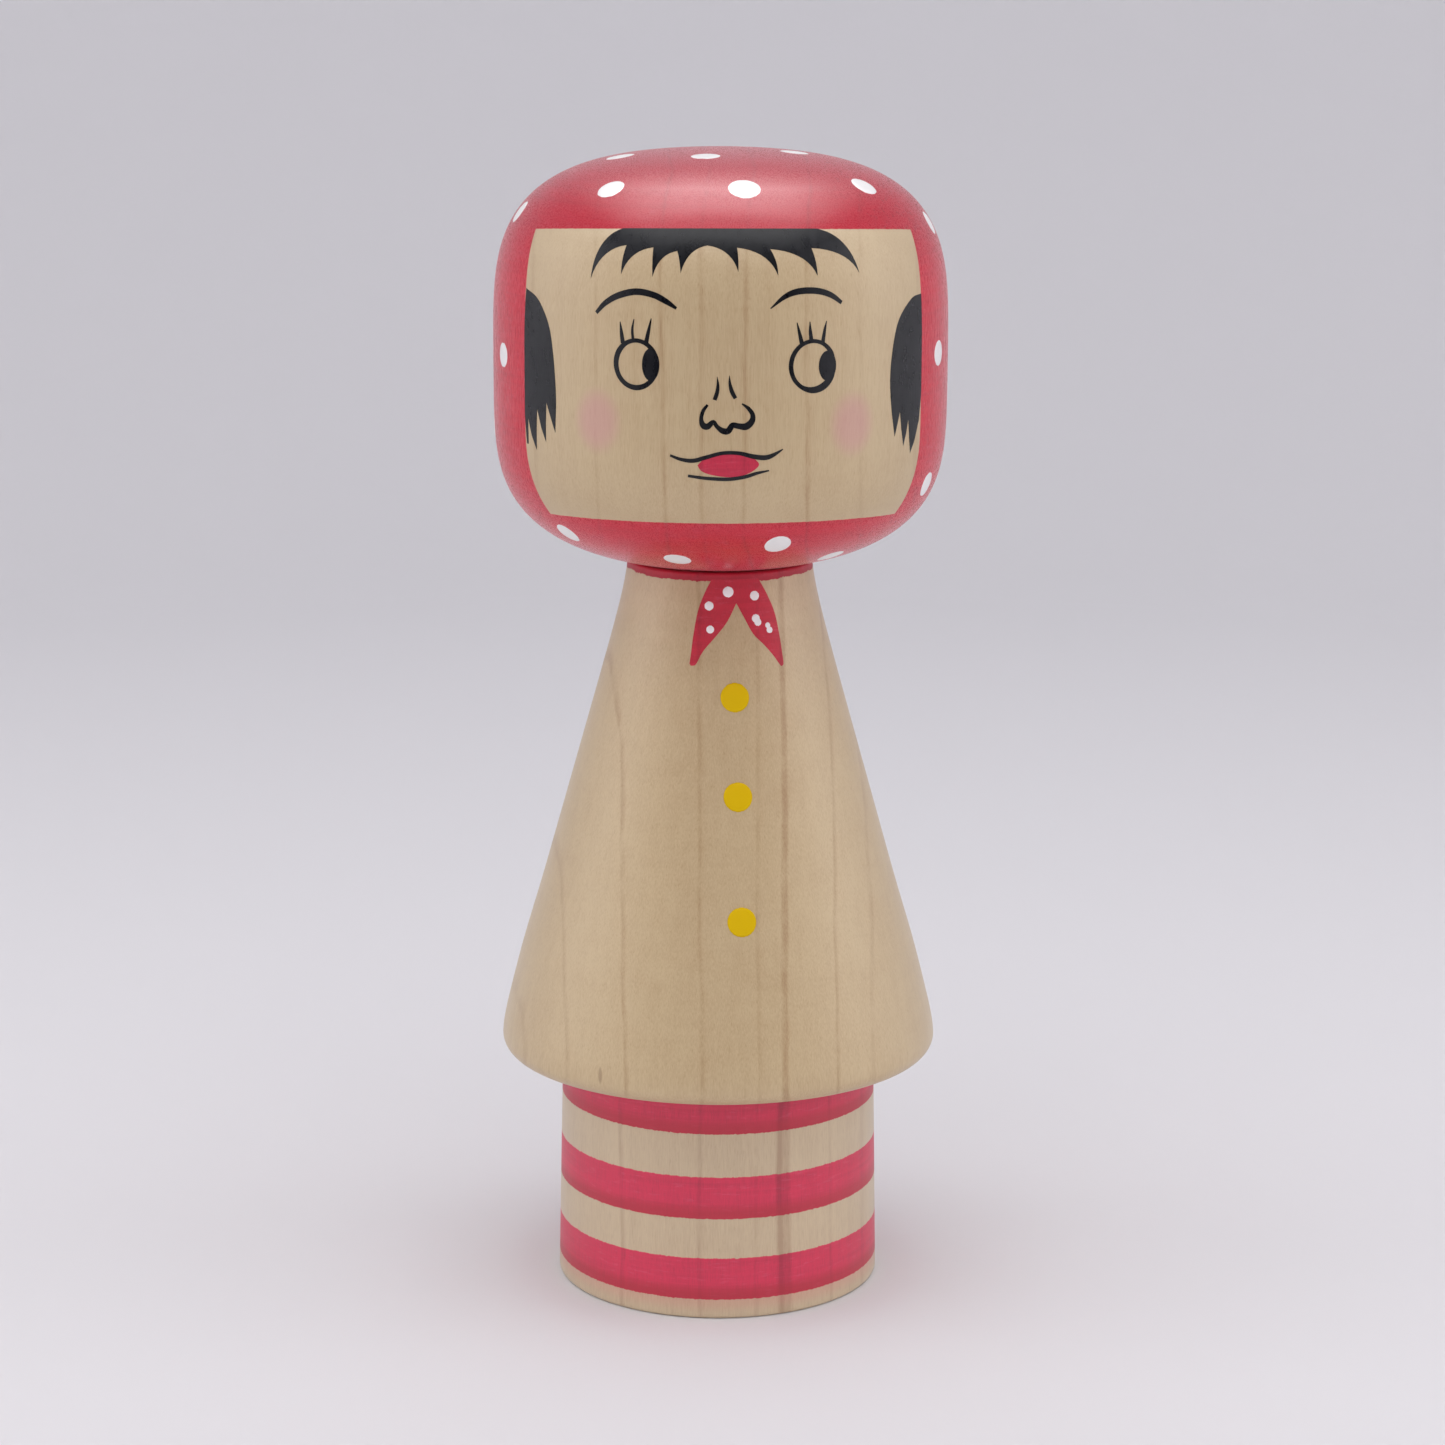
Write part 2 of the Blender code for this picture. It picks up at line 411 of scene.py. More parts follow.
# ---------------------------------------------------------------- material nodes
class Graph:
    """Short ways to add a material's nodes and join them."""

    def __init__(self, name):
        self.material = bpy.data.materials.new(name)
        self.material.use_nodes = True
        self.tree = self.material.node_tree
        self.shader = self.tree.nodes["Principled BSDF"]

    def add(self, kind, inputs=(), output=0, **settings):
        node = self.tree.nodes.new(kind)
        for key, value in settings.items():
            setattr(node, key, value)
        for key, value in dict(inputs).items():
            self.feed(node.inputs[key], value)
        return node.outputs[output]

    def feed(self, socket, value):
        if isinstance(value, bpy.types.NodeSocket):
            self.tree.links.new(value, socket)
        else:
            socket.default_value = value

    def math(self, operation, *values, clamp=False):
        return self.add("ShaderNodeMath", enumerate(values), operation=operation, use_clamp=clamp)

    def square(self, value):
        return self.math("MULTIPLY", value, value)

    def product(self, a, b):
        return self.math("MULTIPLY", a, b)

    def spread(self, a, b, centre, size):
        """How far (a, b) lies from an ellipse's centre: squared, and 1 on the ellipse."""
        off_a = self.math("MULTIPLY_ADD", a, 1 / size[0], -centre[0] / size[0])
        off_b = self.math("MULTIPLY_ADD", b, 1 / size[1], -centre[1] / size[1])
        return self.math("ADD", self.square(off_a), self.square(off_b))

    def scale(self, vector, factors):
        return self.add("ShaderNodeVectorMath", {0: vector, 1: factors}, operation="MULTIPLY")

    def noise(self, vector, detail=2.0, roughness=0.5):
        settings = {"Vector": vector, "Scale": 1.0, "Detail": detail, "Roughness": roughness}
        return self.add("ShaderNodeTexNoise", settings)

    def step(self, value, low, high, start=0.0, end=1.0):
        """Rises smoothly from start to end as value goes from low to high."""
        inputs = {"Value": value, "From Min": low, "From Max": high, "To Min": start, "To Max": end}
        return self.add("ShaderNodeMapRange", inputs, interpolation_type="SMOOTHSTEP")

    def mix(self, share, a, b):
        inputs = {0: share, 6: a, 7: b}
        return self.add("ShaderNodeMix", inputs, 2, data_type="RGBA")

    def ramp(self, value, stops):
        """A colour ramp of (position, colour) stops, linear between them."""
        node = self.tree.nodes.new("ShaderNodeValToRGB")
        self.tree.links.new(value, node.inputs[0])
        ramp = node.color_ramp
        ramp.interpolation = "LINEAR"
        while len(ramp.elements) < len(stops):
            ramp.elements.new(0.5)
        for element, (position, colour) in zip(ramp.elements, stops):
            element.position = position
            element.color = colour
        return node.outputs[0]

    def finish(self, colour, roughness, height, bump):
        self.feed(self.shader.inputs["Base Color"], colour)
        self.feed(self.shader.inputs["Roughness"], roughness)
        inputs = {"Strength": 1.0, "Distance": bump * MM, "Height": height}
        self.feed(self.shader.inputs["Normal"], self.add("ShaderNodeBump", inputs))
        return self.material


def rgb(red, green, blue):
    return (red, green, blue, 1.0)


def object_place(g):
    """The place in the solid, in millimetres."""
    return g.scale(g.add("ShaderNodeTexCoord", output=3), (1 / MM,) * 3)


HEAD_WOOD = rgb(0.545, 0.400, 0.206)
BODY_WOOD = rgb(0.575, 0.424, 0.218)
BROWN_WOOD = rgb(0.350, 0.184, 0.050)
# Painted light: whitens the legs to stand for the bright floor's light and reflection
FLOOR_LIT_WOOD = rgb(0.95, 0.90, 0.88)
RING_WINDOW = 64.0        # the growth rings are laid out over this width, centred on the axis
# The shade across a ring's line, as (offset, darkness): it sets in quickly and fades outward
RING_SHADE = ((-0.28, 0.0), (-0.08, 1.0), (0.08, 0.85), (0.42, 0.0))

# How fast each figure of the wood changes, per millimetre across and along the trunk
WANDER_GRAIN = (0.05, 0.05, 0.014)
WIGGLE_GRAIN = (0.2, 0.2, 0.09)
FIBRE_GRAIN = (8.0, 8.0, 0.45)
STREAK_GRAIN = (0.8, 0.8, 0.012)
CLOUD_GRAIN = (0.11, 0.11, 0.03)
FIGURE_GRAIN = (0.14, 0.14, 0.55)
PORE_GRAIN = (7.5, 7.5, 1.0)
BROKEN_GRAIN = (0.5, 0.5, 0.16)

# How far, in millimetres, the growth rings wander off their true curve
WANDER_REACH = 2.6
WIGGLE_REACH = 0.7

# How much each figure darkens the wood
BASE_TONE = 0.13
FIBRE_TONE = -0.95
STREAK_TONE = -0.40
CLOUD_TONE = -0.24
FIGURE_TONE = -0.20
PORE_TONE = 0.20
RING_TONE = 0.70
HEART_BAND_TONE = 0.50
MIDDLE_BAND_TONE = 0.07


def wood_grain(g, rings, pith, heart=None):
    """Straight-grained wood through the whole solid. Gives millimetre place, tone and fibre height.

    rings are (distance across the grain, strength) of the dark line that ends each year's growth;
    pith is where the tree's centre lies, far to the left of the piece. heart is a brown band,
    given as (distance, half width high up, half width low down, height where it widens).
    """
    place = object_place(g)
    x, y, z = (g.add("ShaderNodeSeparateXYZ", {0: place}, k) for k in range(3))
    wander = g.noise(g.scale(place, WANDER_GRAIN), 1.0)
    wiggle = g.noise(g.scale(place, WIGGLE_GRAIN), 1.0)
    wiggle = g.math("MULTIPLY_ADD", wiggle, WIGGLE_REACH, -(WANDER_REACH + WIGGLE_REACH) / 2)
    wander = g.math("MULTIPLY_ADD", wander, WANDER_REACH, wiggle)
    far_x = g.math("SUBTRACT", x, pith[0])
    far_y = g.math("SUBTRACT", y, pith[1])
    reach = g.math("SQRT", g.math("ADD", g.square(far_x), g.square(far_y)))
    across = g.math("ADD", g.math("SUBTRACT", reach, math.hypot(*pith)), wander)
    stops = []
    for distance, strength in rings:
        centre = 0.5 + distance / RING_WINDOW
        for offset, dark in RING_SHADE:
            level = dark * strength
            stops.append((centre + offset / RING_WINDOW, rgb(level, level, level)))
    line = g.ramp(g.math("MULTIPLY_ADD", across, 1 / RING_WINDOW, 0.5), stops)
    broken = g.step(g.noise(g.scale(place, BROKEN_GRAIN), 1.0), 0.3, 0.6, 0.35, 1.0)

    fibre = g.noise(g.scale(place, FIBRE_GRAIN), 2.0, 0.6)
    streak = g.noise(g.scale(place, STREAK_GRAIN), 3.0, 0.6)
    cloud = g.noise(g.scale(place, CLOUD_GRAIN), 1.0)
    figure = g.noise(g.scale(place, FIGURE_GRAIN), 1.0)
    pore = g.step(g.noise(g.scale(place, PORE_GRAIN), 1.0), 0.60, 0.70)
    tone = g.math("MULTIPLY_ADD", fibre, FIBRE_TONE, BASE_TONE - FIBRE_TONE / 2)
    for part, amount in ((streak, STREAK_TONE), (cloud, CLOUD_TONE), (figure, FIGURE_TONE)):
        tone = g.math("MULTIPLY_ADD", g.math("SUBTRACT", part, 0.5), amount, tone)
    tone = g.math("MULTIPLY_ADD", pore, PORE_TONE, tone)
    tone = g.math("MULTIPLY_ADD", g.product(line, broken), RING_TONE, tone)
    if heart:
        distance, narrow, wide, height = heart
        half = g.step(z, height - 3.0, height + 3.0, wide, narrow)
        off = g.math("ABSOLUTE", g.math("SUBTRACT", across, distance))
        band = g.step(g.math("SUBTRACT", off, half), -0.25, 0.35, 1.0, 0.0)
        tone = g.math("MULTIPLY_ADD", band, HEART_BAND_TONE, tone)
        # Darker wood in a wide soft band down the middle of the body, front and back
        off = g.math("ABSOLUTE", g.math("ADD", across, 1.0))
        tone = g.math("MULTIPLY_ADD", g.step(off, 3.0, 12.0, 1.0, 0.0), MIDDLE_BAND_TONE, tone)
    tone = g.math("MINIMUM", g.math("MAXIMUM", tone, 0.0), 1.0)
    return {"place": place, "x": x, "y": y, "z": z, "tone": tone, "fibre": fibre}


# How fast the dyes' own figures change, per millimetre
CREEP_GRAIN = (2.4, 2.4, 0.08)
BRUSH_RINGS = (0.03, 0.03, 1.6)
THIN_STREAKS = (0.5, 0.5, 2.4)
COLLAR_WAVE = (0.3, 0.3, 0.1)
TORN_SPECKS = (1.5, 1.5, 1.2)

HOOD_DYE = rgb(0.610, 0.017, 0.042)
STRIPE_DYE = rgb(0.690, 0.027, 0.085)
LIP_DYE = rgb(0.560, 0.018, 0.058)
TIE_DYE = rgb(0.560, 0.018, 0.045)
THIN_DYE = rgb(0.84, 0.22, 0.34)
POOLED_DYE = rgb(0.43, 0.014, 0.026)
COLLAR_EDGE_DYE = rgb(0.36, 0.012, 0.03)
# Partly painted shade: the crown's darker dye also tempers the light from above
SOAKED_SHADE_DYE = rgb(0.38, 0.012, 0.030)
TORN_DYE = rgb(0.30, 0.012, 0.022)
BLUSH_DYE = rgb(0.57, 0.225, 0.235)
FLECK_BROWN = rgb(0.27, 0.145, 0.045)
DEEP_DYE_SHARE = 0.62     # how dark a dye goes over dark grain
DYE_EDGE = 0.05           # half the width over which a dyed edge fades
STRIPE_CREEP = 0.17       # how far dye creeps along the fibres, each way
WINDOW_CREEP = 0.08
POOL_FADE = (0.7, 2.4)    # heights above a stripe's lower edge between which the pool fades
FIBRE_SPAN = (0.3, 0.7)   # the usual range of the fibre's height, which varies the gloss


def bleeding(g, grain, reach):
    """How far the dye has crept along the fibres at its edge, in millimetres."""
    creep = g.noise(g.scale(grain["place"], CREEP_GRAIN), 2.0, 0.7)
    return g.math("MULTIPLY_ADD", creep, 2 * reach, -reach)


def dyed(g, grain, dye):
    """Wood under a water-based dye: the grain still shows, and the brush leaves rings."""
    rings = g.noise(g.scale(grain["place"], BRUSH_RINGS), 3.0, 0.6)
    deep = rgb(*(c * DEEP_DYE_SHARE for c in dye[:3]))
    rings = g.math("MULTIPLY_ADD", rings, 0.9, -0.48)
    depth = g.math("MULTIPLY_ADD", grain["tone"], 1.0, rings, clamp=True)
    thin = g.step(g.noise(g.scale(grain["place"], THIN_STREAKS), 3.0, 0.6), 0.54, 0.72, 0.0, 0.11)
    return g.mix(thin, g.mix(depth, dye, deep), THIN_DYE)


FLECK = (-15.05, 34.1)    # x and height
FLECK_SIZE = (0.26, 1.15)
BODY_PITH = (-170.0, -32.0)
BODY_RINGS = (
    (-27.5, 0.4), (-22.0, 0.55), (-14.7, 0.75), (-5.1, 0.6),
    (2.6, 0.4), (5.9, 0.9), (12.8, 0.6), (17.9, 0.5),
)
BODY_HEART = (6.3, 0.08, 0.85, 31.0)
HEAD_PITH = (-150.0, -14.5)
HEAD_RINGS = (
    (-24.0, 0.5), (-15.5, 0.4), (-6.8, 0.9), (-2.1, 0.6),
    (3.2, 0.7), (10.3, 0.85), (16.5, 0.4), (23.5, 0.5),
)


def wax(g, bare):
    """Bare wood is waxed, and scatters more light off its surface than the dyed parts do."""
    g.feed(g.shader.inputs["Coat Weight"], bare)
    g.feed(g.shader.inputs["Coat Roughness"], 0.5)
    g.feed(g.shader.inputs["Coat IOR"], 1.92)
    # Loose fibres catch light at grazing angles
    g.feed(g.shader.inputs["Sheen Weight"], 0.10)
    g.feed(g.shader.inputs["Sheen Roughness"], 0.35)


def fleck_in_hem(g, grain, bare):
    """A brown fleck in the hem's edge, left of the middle."""
    spread = g.spread(grain["x"], grain["z"], FLECK, FLECK_SIZE)
    front = g.step(grain["y"], -10.0, -9.0, 0.6, 0.0)
    fleck = g.product(g.step(spread, 0.3, 1.3, 1.0, 0.0), front)
    return g.mix(fleck, bare, FLECK_BROWN)


def striped(g, grain, low_edge, high_edge, bare):
    """The leg's dyed stripes over bare wood. Gives the colour and where it is wet."""
    girth = g.math("SQRT", g.math("ADD", g.square(grain["x"]), g.square(grain["y"])))
    on_leg = g.step(girth, LEG_RADIUS_BASE + 0.05, LEG_RADIUS_BASE + 0.2, 1.0, 0.0)
    wet = pooled = 0.0
    for low, high in STRIPES:
        above = g.step(low_edge, low - DYE_EDGE, low + DYE_EDGE)
        below = g.step(high_edge, high - DYE_EDGE, high + DYE_EDGE, 1.0, 0.0)
        stripe = g.product(g.product(above, below), on_leg)
        wet = g.math("MAXIMUM", stripe, wet)
        # The dye runs down and dries darker along the lower edge
        pool = g.step(low_edge, low + POOL_FADE[0], low + POOL_FADE[1], 0.62, 0.0)
        pooled = g.math("MAXIMUM", g.product(stripe, pool), pooled)
    dye = g.mix(pooled, dyed(g, grain, STRIPE_DYE), POOLED_DYE)
    return g.mix(wet, bare, dye), wet


def body_material():
    g = Graph("body_wood")
    grain = wood_grain(g, BODY_RINGS, BODY_PITH, BODY_HEART)
    z = grain["z"]
    bare = g.mix(grain["tone"], BODY_WOOD, BROWN_WOOD)
    # The legs are painted paler: painted light and reflection from the bright floor below them
    bare = g.mix(g.step(z, HEM_UNDERSIDE_Z - 0.2, HEM_UNDERSIDE_Z, 0.11, 0.0), bare, FLOOR_LIT_WOOD)
    bare = fleck_in_hem(g, grain, bare)
    # The last bare ring is stained by the stripe above it
    stain = g.product(g.step(z, 0.6, 2.4, 0.0, 0.2), g.step(z, 2.6, 2.9, 1.0, 0.0))
    bare = g.mix(stain, bare, STRIPE_DYE)

    creep = bleeding(g, grain, STRIPE_CREEP)
    low_edge = g.math("ADD", z, creep)
    high_edge = g.math("SUBTRACT", z, creep)
    colour, wet = striped(g, grain, low_edge, high_edge, bare)

    wave = g.noise(g.scale(grain["place"], COLLAR_WAVE), 2.0)
    wavy_edge = g.math("MULTIPLY_ADD", wave, 0.7, low_edge)
    above = g.math("SUBTRACT", wavy_edge, NECK_BAND_Z + 0.35)
    collar = g.step(above, -DYE_EDGE, DYE_EDGE)
    rim = g.step(above, 0.1, 0.8, 0.7, 0.0)
    colour = g.mix(collar, colour, g.mix(rim, dyed(g, grain, TIE_DYE), COLLAR_EDGE_DYE))

    wax(g, g.math("SUBTRACT", 1.0, g.math("MAXIMUM", g.product(wet, 0.82), collar)))
    return g.finish(colour, g.step(grain["fibre"], *FIBRE_SPAN, 0.46, 0.54), grain["fibre"], 0.02)


def hood_mask(g, grain, u, v):
    """1 on the hood and 0 in the window it leaves for the face."""
    # The window's width: straight, a little wider at the brow and narrower at the chin
    brow = g.square(g.math("MAXIMUM", g.math("SUBTRACT", v, WINDOW_STRAIGHT), 0.0))
    below = g.math("MULTIPLY_ADD", v, -1.0, -WINDOW_STRAIGHT)
    chin = g.square(g.math("MAXIMUM", below, 0.0))
    width = g.math("MULTIPLY_ADD", brow, WINDOW_BROW_FLARE, WINDOW_HALF_WIDTH)
    width = g.math("MULTIPLY_ADD", chin, -WINDOW_CHIN_TAPER, width)
    bow = g.square(g.product(u, 1 / WINDOW_BOW_REACH))
    creep = bleeding(g, grain, WINDOW_CREEP)
    top = g.math("ADD", g.math("MULTIPLY_ADD", bow, -WINDOW_TOP_BOW, WINDOW_TOP), creep)
    bottom = g.math("ADD", g.math("MULTIPLY_ADD", bow, -WINDOW_BOTTOM_BOW, WINDOW_BOTTOM), creep)
    inner = g.math("SUBTRACT", width, g.math("ABSOLUTE", u))
    inner = g.math("MINIMUM", inner, g.math("SUBTRACT", top, v))
    inner = g.math("MINIMUM", inner, g.math("SUBTRACT", v, bottom))
    return g.step(inner, -DYE_EDGE, DYE_EDGE, 1.0, 0.0)


def head_material():
    g = Graph("head_wood")
    grain = wood_grain(g, HEAD_RINGS, HEAD_PITH)
    bare = g.mix(grain["tone"], HEAD_WOOD, BROWN_WOOD)
    azimuth = g.math("ARCTAN2", grain["x"], g.product(grain["y"], -1.0))
    u = g.product(g.math("SUBTRACT", azimuth, math.radians(FACE_AZIMUTH)), HEAD_GIRTH_RADIUS)
    v = g.math("SUBTRACT", grain["z"], HEAD_MIDDLE_Z)
    hood = hood_mask(g, grain, u, v)

    blush = 0.0
    for centre in BLUSH:
        spread = g.spread(u, v, centre, BLUSH_SIZE)
        blush = g.math("MAXIMUM", g.step(spread, 0.1, 1.5, 0.55, 0.0), blush)
    face = g.mix(blush, bare, BLUSH_DYE)

    # Torn end grain on the shoulders, where the dye has soaked in as specks
    shoulder = g.step(g.math("ABSOLUTE", v), *TORN_BAND)
    torn_side = g.math("COSINE", g.math("SUBTRACT", azimuth, math.radians(TORN_AZIMUTH)))
    torn_side = g.step(g.math("ABSOLUTE", torn_side), 0.78, 0.99)
    speck = g.noise(g.scale(grain["place"], TORN_SPECKS), 3.0, 0.75)
    torn = g.product(g.product(shoulder, torn_side), g.step(speck, 0.585, 0.645, 0.0, 0.75))
    # The crown is dyed darker towards the top: its end grain drinks more dye, and the darkening is
    # also painted shade against the strong light from above
    soak_shade_low, soak_shade_high = (HEAD_MIDDLE_Z + rise for rise in SOAKED_SHADE_BAND)
    soaked_shade = g.step(grain["z"], soak_shade_low, soak_shade_high, 0.0, 0.46)
    red = g.mix(torn, g.mix(soaked_shade, dyed(g, grain, HOOD_DYE), SOAKED_SHADE_DYE), TORN_DYE)

    wood_gloss = g.step(grain["fibre"], *FIBRE_SPAN, 0.44, 0.52)
    dye_gloss = g.step(grain["fibre"], *FIBRE_SPAN, 0.25, 0.31)
    roughness = g.math("MULTIPLY_ADD", hood, g.math("SUBTRACT", dye_gloss, wood_gloss), wood_gloss)
    height = g.math("MULTIPLY_ADD", torn, -1.6, grain["fibre"])
    wax(g, g.math("SUBTRACT", 1.0, hood))
    return g.finish(g.mix(hood, face, red), roughness, height, 0.009)


def dyed_wood_material(name, rings, pith, dye):
    g = Graph(name)
    grain = wood_grain(g, rings, pith)
    return g.finish(dyed(g, grain, dye), 0.42, grain["fibre"], 0.012)


BRUSH_SWEEP = (0.9, 0.9, 0.5)
PRINTED_FIBRE = (7.0, 7.0, 0.30)


def paint_material(name, colour, roughness, drift, fibre_bump, gloss=0.5):
    """Opaque paint or ink: its density drifts with the brush, and the fibres print through."""
    g = Graph(name)
    place = object_place(g)
    sweep = g.noise(g.scale(place, BRUSH_SWEEP), 3.0, 0.6)
    thin = rgb(*(min(1.0, c * (1 + drift) + drift * 0.03) for c in colour[:3]))
    tint = g.mix(g.step(sweep, 0.35, 0.7), colour, thin)
    dullness = g.step(sweep, 0.3, 0.7, roughness - 0.04, roughness + 0.04)
    fibre = g.noise(g.scale(place, PRINTED_FIBRE), 2.0, 0.6)
    g.feed(g.shader.inputs["Specular IOR Level"], gloss)
    return g.finish(tint, dullness, fibre, fibre_bump)


# ---------------------------------------------------------------- the face, drawn on its sheet
# v here is measured from the head's widest ring; wrapped() takes heights.
WINDOW_TOP = 19.2
WINDOW_BOTTOM = -16.8
WINDOW_HALF_WIDTH = 29.65
WINDOW_STRAIGHT = 8.0     # its sides are straight this far above and below the middle
WINDOW_BROW_FLARE = 0.012
WINDOW_CHIN_TAPER = 0.022
WINDOW_BOW_REACH = 31.0   # this far to the side, its top and bottom edges have bowed by:
WINDOW_TOP_BOW = 1.15
WINDOW_BOTTOM_BOW = 0.8
TORN_AZIMUTH = 72.0
TORN_BAND = (14.0, 20.0)
# Heights over which the crown's dye darkens, partly painted shade against the light from above
SOAKED_SHADE_BAND = (11.0, 20.0)
BLUSH = ((-16.6, -4.4), (16.65, -4.8))
BLUSH_SIZE = (3.1, 3.8)

FRINGE_TIPS = (
    (-17.9, 12.9), (-13.55, 13.65), (-9.3, 13.5), (-5.7, 14.0),
    (1.55, 14.2), (6.6, 13.7), (11.85, 13.55), (18.05, 13.6),
)
FRINGE_NOTCHES = (
    (-13.35, 17.1), (-9.55, 16.95), (-6.3, 16.6), (-2.4, 17.3),
    (1.45, 17.05), (5.8, 16.85), (11.45, 16.85),
)


def bend(start, pull, end, steps=9):
    """A quadratic Bezier from start to end, drawn towards pull, without its end point."""
    t = np.arange(steps) / steps
    a, b, c = (np.array(p) for p in (start, pull, end))
    return [tuple(a * (1 - k) ** 2 + 2 * b * k * (1 - k) + c * k**2) for k in t]


def window_top(u):
    return WINDOW_TOP - WINDOW_TOP_BOW * (u / WINDOW_BOW_REACH) ** 2


def fringe_outline():
    """The fringe from its left corner, down and along the locks, and back along the hood's edge."""
    first, last = FRINGE_TIPS[0], FRINGE_TIPS[-1]
    left, right = (-14.6, window_top(-14.6)), (13.0, window_top(13.0))
    outline = bend(left, (-17.95, 18.0), first, 12)
    middle = 3            # the notch where the locks part to either side
    for index, notch in enumerate(FRINGE_NOTCHES):
        tip, following = FRINGE_TIPS[index], FRINGE_TIPS[index + 1]
        if index <= middle:
            pull = (tip[0] + 0.2 * (notch[0] - tip[0]), notch[1] - 0.12 * (notch[1] - tip[1]))
            outline += bend(tip, pull, notch)
        else:
            outline += bend(tip, (tip[0] + 0.1, tip[1] + 1.7), notch, 5)
        if index < middle:
            outline += bend(notch, (following[0] - 0.2, following[1] + 1.7), following, 5)
        else:
            pull = (following[0] - 0.2 * (following[0] - notch[0]),
                    notch[1] - 0.12 * (notch[1] - following[1]))
            outline += bend(notch, pull, following)
    outline += bend(last, (17.15, 18.3), right, 12)
    outline += [(u, window_top(u) + 0.06) for u in np.linspace(right[0], left[0], 24)]
    return outline


def side_hair_outlines():
    """The hair beside each cheek: a curved front, and locks cut to points."""
    left = [
        *spline([(-29.6, 10.9), (-27.3, 10.1), (-25.7, 8.7), (-24.4, 6.5), (-23.75, 3.75),
                 (-23.35, 0.4), (-23.2, -2.75), (-23.4, -6.5)], 0.5),
        (-25.0, -2.9), (-25.15, -5.5), (-25.2, -7.85), (-26.1, -6.1), (-26.9, -3.8), (-27.05, -6.4),
        (-27.2, -9.1), (-28.2, -7.3), (-28.9, -5.2), (-29.0, -8.5), (-29.35, -8.5),
    ]
    left += [(-29.7, v) for v in (-5.0, 0.0, 5.0)]
    right = [
        *spline([(29.75, 10.3), (27.6, 10.0), (25.35, 8.5), (24.0, 6.6), (23.15, 3.4),
                 (22.85, 0.45), (22.95, -1.7), (23.3, -4.3), (23.9, -7.0)], 0.5),
        (24.85, -4.0), (25.2, -6.2), (25.75, -8.4), (26.3, -6.7), (26.65, -5.1), (26.95, -7.4),
        (27.4, -9.5), (28.3, -7.9), (28.9, -6.2), (29.2, -5.5),
    ]
    right += [(29.7, v) for v in (-2.0, 3.0, 7.0)]
    return [tuple(p) for p in reversed(left)], [tuple(p) for p in right]


def ring_stroke(centre, size, widths):
    """A closed brush ring, its width going round through widths, anticlockwise from the right."""
    count = len(widths)
    points = []
    for k in range(count + 1):
        angle = math.tau * k / count
        u = centre[0] + size[0] * math.cos(angle)
        v = centre[1] + size[1] * math.sin(angle)
        points.append((u, v, widths[k % count]))
    return points


BROWS = (
    ((-16.75, 8.85, 0.46), (-15.5, 10.1, 0.68), (-13.7, 11.1, 0.8), (-11.35, 11.65, 0.8),
     (-9.1, 11.35, 0.76), (-7.5, 10.65, 0.7), (-6.1, 9.8, 0.34)),
    ((5.5, 9.8, 0.14), (7.2, 11.1, 0.56), (8.7, 11.7, 0.74), (10.45, 11.85, 0.78),
     (12.2, 11.65, 0.76), (13.7, 11.1, 0.68), (15.0, 10.2, 0.48)),
)
EYES = (
    {"centre": (-11.2, 2.88), "size": (2.68, 2.88),
     "pupil": (-9.3, 2.88), "pupil_size": (1.12, 2.0),
     "widths": (0.6, 0.62, 0.54, 0.52, 0.58, 0.7, 0.68, 0.62, 0.6, 0.66, 0.62, 0.58)},
    {"centre": (10.95, 2.72), "size": (2.86, 3.0),
     "pupil": (12.95, 2.62), "pupil_size": (1.2, 1.85),
     "widths": (0.62, 0.6, 0.5, 0.5, 0.52, 0.58, 0.6, 0.54, 0.54, 0.78, 0.9, 0.8)},
)
LASHES = (
    ((-12.95, 5.35, 0.58), (-13.15, 6.6, 0.46), (-13.35, 7.95, 0.1)),
    ((-11.6, 5.75, 0.36), (-11.7, 7.1, 0.32), (-11.5, 8.35, 0.1)),
    ((-9.9, 5.45, 0.56), (-9.6, 6.9, 0.44), (-9.25, 8.5, 0.12)),
    ((9.5, 5.4, 0.58), (9.15, 6.8, 0.4), (8.85, 8.05, 0.1)),
    ((10.75, 5.7, 0.56), (10.6, 6.9, 0.42), (10.55, 8.1, 0.1)),
    ((12.25, 5.3, 0.54), (12.5, 6.8, 0.4), (12.8, 8.1, 0.1)),
)
NOSE = (
    ((-1.05, 1.6, 0.05), (-0.95, 0.6, 0.34), (-1.05, -0.3, 0.49), (-1.35, -1.25, 0.5)),
    ((0.45, 1.75, 0.05), (0.5, 0.8, 0.34), (0.75, -0.2, 0.52), (1.2, -1.05, 0.47)),
    ((-2.2, -1.85, 0.32), (-2.75, -2.6, 0.45), (-2.98, -3.6, 0.5), (-2.75, -4.35, 0.76),
     (-2.2, -4.5, 0.76), (-1.5, -3.95, 0.54), (-1.05, -4.5, 0.52), (-0.4, -5.0, 0.72),
     (0.3, -5.05, 0.77), (0.85, -4.35, 0.7), (1.6, -4.45, 0.7), (2.5, -4.5, 0.86),
     (3.2, -3.9, 0.76), (3.32, -3.1, 0.58), (2.8, -2.3, 0.47), (2.0, -1.7, 0.18)),
)
MOUTH = (
    ((-6.85, -8.15, 0.3), (-5.55, -8.6, 0.42), (-4.0, -8.75, 0.52), (-2.35, -8.3, 0.5),
     (-0.4, -7.78, 0.46), (1.6, -7.78, 0.48), (3.45, -8.22, 0.58), (4.9, -8.38, 0.62),
     (5.9, -8.1, 0.5), (7.15, -7.4, 0.14)),
    ((-4.65, -10.65, 0.34), (-2.35, -10.92, 0.42), (0.3, -11.02, 0.46), (2.5, -10.72, 0.46),
     (3.95, -10.3, 0.38), (5.45, -10.0, 0.16)),
)
LIPS = ((-3.45, -9.3), (-3.05, -9.95), (-2.1, -10.4), (-0.6, -10.68), (0.6, -10.76), (1.9, -10.62),
        (3.0, -10.25), (3.85, -9.7), (4.15, -9.1), (3.3, -8.35), (1.8, -7.9), (0.3, -7.8),
        (-1.4, -8.05), (-2.7, -8.6))

